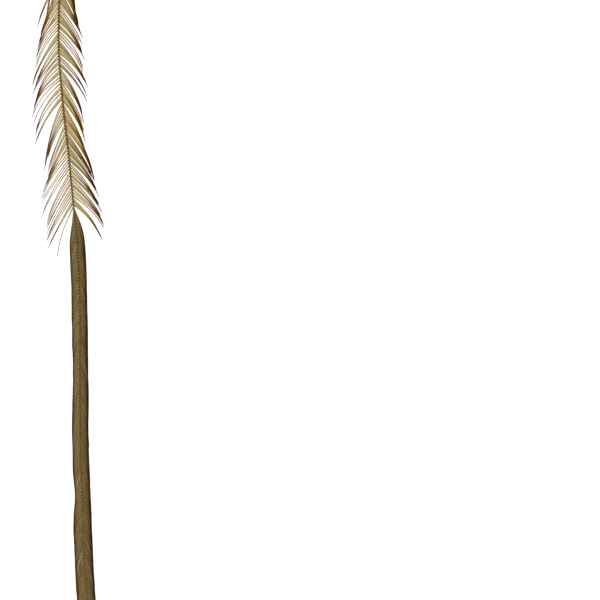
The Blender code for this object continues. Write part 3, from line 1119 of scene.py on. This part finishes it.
@dataclass(frozen=True)
class Surface:
    """How strongly a finish is streaked and bumped, and how it shines."""

    streaks: float = 0.30
    scale: float = 2600.0
    bump: float = 0.15
    bump_distance: float = 0.00001
    roughness: float = 0.55
    specular: float = 0.12

    def dress(self, make: NodeBuilder, streaks: bpy.types.NodeTree, base: bpy.types.NodeSocket,
              tone: object) -> None:
        """Streaks and bumps a base colour and feeds the material's shader.

        Args:
            make: the builder of the material's tree.
            streaks: the shared group of streaks.
            base: the finish's colour before it is streaked.
            tone: each strand's own tone, or one for all.
        """
        shader = make.tree.nodes["Principled BSDF"]
        group = make.node("ShaderNodeGroup", node_tree=streaks)
        for name, source in (("Color", base), ("Tone", tone), ("Scale", self.scale),
                             ("Strength", self.streaks)):
            make.feed(group.inputs[name], source)
        make.feed(shader.inputs["Base Color"], group.outputs["Color"])
        bump = make.node("ShaderNodeBump")
        for name, source in (("Strength", self.bump), ("Distance", self.bump_distance),
                             ("Height", group.outputs["Height"])):
            make.feed(bump.inputs[name], source)
        make.feed(shader.inputs["Normal"], bump.outputs["Normal"])
        shader.inputs["Roughness"].default_value = self.roughness
        shader.inputs["Specular IOR Level"].default_value = self.specular


def new_material(name: str) -> tuple[bpy.types.Material, NodeBuilder]:
    """A new node material.

    Args:
        name: the material's name.

    Returns:
        The material and the builder of its tree.
    """
    made = bpy.data.materials.new(name)
    made.use_nodes = True
    return made, NodeBuilder(made.node_tree)


@dataclass(frozen=True)
class BarbFinish:
    """Dyed keratin that runs from a light root to a dark red-brown tip, and pale painted glints."""

    name: str
    stops: tuple
    surface: Surface = Surface()
    # Pale colour of the painted glints on the folded barbs.
    pale: tuple = (0.29, 0.265, 0.16, 1.0)

    def material(self, streaks: bpy.types.NodeTree) -> bpy.types.Material:
        """The finish as a material that reads the values kept on the barbs.

        Args:
            streaks: the shared group of streaks.

        Returns:
            The material.
        """
        made, make = new_material(self.name)
        base = make.ramp(make.number("along"), self.stops)
        # Mixes in the pale colour where a barb carries a painted glint.
        base = make.blend(make.number("pale"), base, self.pale)
        self.surface.dress(make, streaks, base, make.number("tone"))
        return made


@dataclass(frozen=True)
class ShaftFinish:
    """Golden horn with a dark nick at each barb, olive on the blade, and a paler bare quill."""

    name: str = "shaft_horn"
    light: tuple = (0.25, 0.135, 0.010, 1.0)
    blade_light: tuple = (0.165, 0.115, 0.028, 1.0)
    dark: tuple = (0.024, 0.008, 0.001, 1.0)
    quill: tuple = (0.46, 0.38, 0.20, 1.0)
    light_share: float = 1.9
    surface: Surface = Surface(0.35, 1800.0, 0.2, 0.00002, 0.50, 0.02)

    def material(self, streaks: bpy.types.NodeTree) -> bpy.types.Material:
        """The finish as a material whose nicks follow the barbs' spacing.

        Args:
            streaks: the shared group of streaks.

        Returns:
            The material.
        """
        made, make = new_material(self.name)
        turns = make.math("MULTIPLY", make.number("along"), 2 * np.pi)
        wave = make.math("ADD", make.math("MULTIPLY", make.math("SINE", turns), 0.5), 0.5)
        ticks = make.math("MULTIPLY", wave, self.light_share)
        ticks = make.math("SMOOTH_MIN", ticks, 1.0, 0.2)
        light = make.blend(make.number("blade"), self.light, self.blade_light)
        horn = make.blend(ticks, self.dark, light)
        base = make.blend(make.number("tone"), horn, self.quill)
        self.surface.dress(make, streaks, base, 0.0)
        return made


@dataclass
class Studio:
    """Plain white floor that glows like a light table, soft light and a camera that looks down.

    The camera stands over the point that the photograph's centre shows, so the feather keeps
    its place near the left edge and runs out at the top and the bottom.
    """

    view_width: float = 80.0
    centre_x: float = 30.89
    lens: float = 135.0
    sensor: float = 36.0
    floor_size: float = 2000.0
    key_power: float = 4.0
    key_size: float = 0.35
    key_place: tuple = (-0.45, 0.15, 0.55)
    key_turn: tuple = (-14.0, -39.0, 0.0)
    world_strength: float = 0.62
    floor_tone: float = 0.22
    floor_glow: float = 1.00

    def floor(self) -> None:
        """The surface that the feather lies on."""
        half = 0.5 * self.floor_size * MM
        mesh = bpy.data.meshes.new("floor")
        mesh.from_pydata([(-half, -half, 0), (half, -half, 0), (half, half, 0), (-half, half, 0)],
                         [], [(0, 1, 2, 3)])
        material, make = new_material("white_floor")
        shader = make.tree.nodes["Principled BSDF"]
        shader.inputs["Base Color"].default_value = (*[self.floor_tone] * 3, 1.0)
        shader.inputs["Emission Color"].default_value = (1.0, 1.0, 1.0, 1.0)
        shader.inputs["Emission Strength"].default_value = self.floor_glow
        shader.inputs["Roughness"].default_value = 0.9
        shader.inputs["Specular IOR Level"].default_value = 0.0
        mesh.materials.append(material)
        put_in_scene("floor", mesh)

    def lights(self) -> None:
        """A white surround and one large soft key from the upper left."""
        world = bpy.data.worlds.new("studio")
        world.use_nodes = True
        background = world.node_tree.nodes["Background"]
        background.inputs["Color"].default_value = (1.0, 1.0, 1.0, 1.0)
        background.inputs["Strength"].default_value = self.world_strength
        bpy.context.scene.world = world
        key = bpy.data.lights.new("key", "AREA")
        key.shape = "DISK"
        key.size = self.key_size
        key.energy = self.key_power
        lamp = put_in_scene("key", key)
        lamp.location = self.key_place
        lamp.rotation_euler = tuple(np.radians(self.key_turn))

    def camera(self) -> None:
        """The camera, straight above the centre of the view."""
        lens = bpy.data.cameras.new("camera")
        lens.lens = self.lens
        lens.sensor_width = self.sensor
        eye = put_in_scene("camera", lens)
        distance = self.view_width * self.lens / self.sensor
        eye.location = (self.centre_x * MM, 0.0, distance * MM)
        bpy.context.scene.camera = eye

    def build(self) -> None:
        """Everything that isn't the feather."""
        self.floor()
        self.lights()
        self.camera()
        bpy.context.scene.view_settings.view_transform = "Standard"


BARB_FINISH = BarbFinish("barb_keratin", (
    (0.00, (0.45, 0.375, 0.20)), (0.28, (0.43, 0.345, 0.155)), (0.40, (0.36, 0.275, 0.09)),
    (0.52, (0.25, 0.148, 0.012)), (0.65, (0.17, 0.072, 0.001)), (0.81, (0.095, 0.027, 0.001)),
    (0.95, (0.048, 0.010, 0.001)), (1.00, (0.060, 0.016, 0.002)),
), Surface(specular=0.04))
WEB_FINISH = BarbFinish("barbule_web", (
    (0.00, (0.56, 0.46, 0.30)), (0.35, (0.53, 0.425, 0.25)), (0.45, (0.40, 0.32, 0.13)),
    (0.65, (0.30, 0.19, 0.03)),
), Surface(streaks=0.10, specular=0.04))
# Painted light and shade: the left folded finish is a lit copy and the right one a shaded copy of the
# same keratin.
LEFT_LIT_FOLDED_FINISH = BarbFinish("left_folded_keratin", (
    (0.00, (0.175, 0.125, 0.045)), (0.27, (0.165, 0.110, 0.036)), (0.38, (0.115, 0.062, 0.010)),
    (0.55, (0.060, 0.026, 0.002)), (1.00, (0.036, 0.012, 0.001)),
))
# Darker towards the edge partly as painted shade on the side away from the key light, partly as the
# barbs' own dark tips.
RIGHT_SHADED_FOLDED_FINISH = BarbFinish("right_folded_keratin", (
    (0.00, (0.165, 0.118, 0.042)), (0.27, (0.155, 0.100, 0.033)), (0.38, (0.080, 0.034, 0.006)),
    (0.60, (0.026, 0.007, 0.001)), (1.00, (0.014, 0.003, 0.001)),
))
LINING_FINISH = BarbFinish("blade_web", (
    (0.00, (0.16, 0.115, 0.042)), (0.24, (0.13, 0.082, 0.026)), (0.46, (0.060, 0.027, 0.004)),
))
DOWN_FINISH = BarbFinish("down", (
    (0.00, (0.52, 0.46, 0.32)), (1.00, (0.58, 0.54, 0.44)),
), Surface(streaks=0.15))


@dataclass(frozen=True)
class SideLook:
    """What differs between the feather's two sides: locks, barbs' widths and shades, and finish."""

    side: Side
    locks: tuple[Lock, ...]
    seed: int
    tuft_break: float
    half_width: float
    tip_half_width: float
    tip_shade: float
    edge_shade: float
    # The folded barbs' finish: a lit copy on the left, and on the right a copy darkened with painted
    # shade.
    folded: BarbFinish


SIDES = (
    SideLook(Side.LEFT, LEFT_LOCKS, 21, 0.72, 0.054, 0.036, 0.02, 0.44, LEFT_LIT_FOLDED_FINISH),
    SideLook(Side.RIGHT, RIGHT_LOCKS, 42, 0.60, 0.070, 0.054, 0.18, 0.36, RIGHT_SHADED_FOLDED_FINISH),
)


def main() -> None:
    """Builds the feather's pieces, then the studio."""
    logging.basicConfig(level=logging.INFO, format="%(message)s")
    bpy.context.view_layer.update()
    plan = FeatherPlan()
    streaks = streak_group()
    barb = BARB_FINISH.material(streaks)
    web = WEB_FINISH.material(streaks)
    down = DOWN_FINISH.material(streaks)
    make_piece("shaft", Shaft(plan).skin(), ShaftFinish().material(streaks))
    rng = random.Random(LAYOUT_SEED)
    for look in SIDES:
        side, seed = look.side, look.seed
        word = side.name.lower()
        fluffy = DownVane(plan, side, DOWN_ROW.locks(rng, plan, side), seed + 3)
        locks = NEAR_ROW.locks(rng, plan, side) + look.locks
        vane = OpenVane(plan, side, locks, seed, tuft_break=look.tuft_break,
                        half_width=look.half_width, tip_half_width=look.tip_half_width,
                        tip_shade=look.tip_shade, edge_shade=look.edge_shade)
        make_piece(f"{word}_down", fluffy.barbs(), down)
        make_piece(f"{word}_down_fluff", fluffy.fluff(), down)
        make_piece(f"{word}_open_barbs", vane.barbs(), barb)
        make_piece(f"{word}_web", vane.web(), web)
        folded = look.folded.material(streaks)
        make_piece(f"{word}_folded_barbs", FoldedVane(plan, side, seed + 7).barbs(), folded)
        make_piece(f"{word}_under_barbs", UnderVane(plan, side, seed + 7).barbs(), folded)
    make_piece("blade_lining", Lining(plan).skin(), LINING_FINISH.material(streaks))
    Studio().build()


if __name__ == "__main__":
    main()
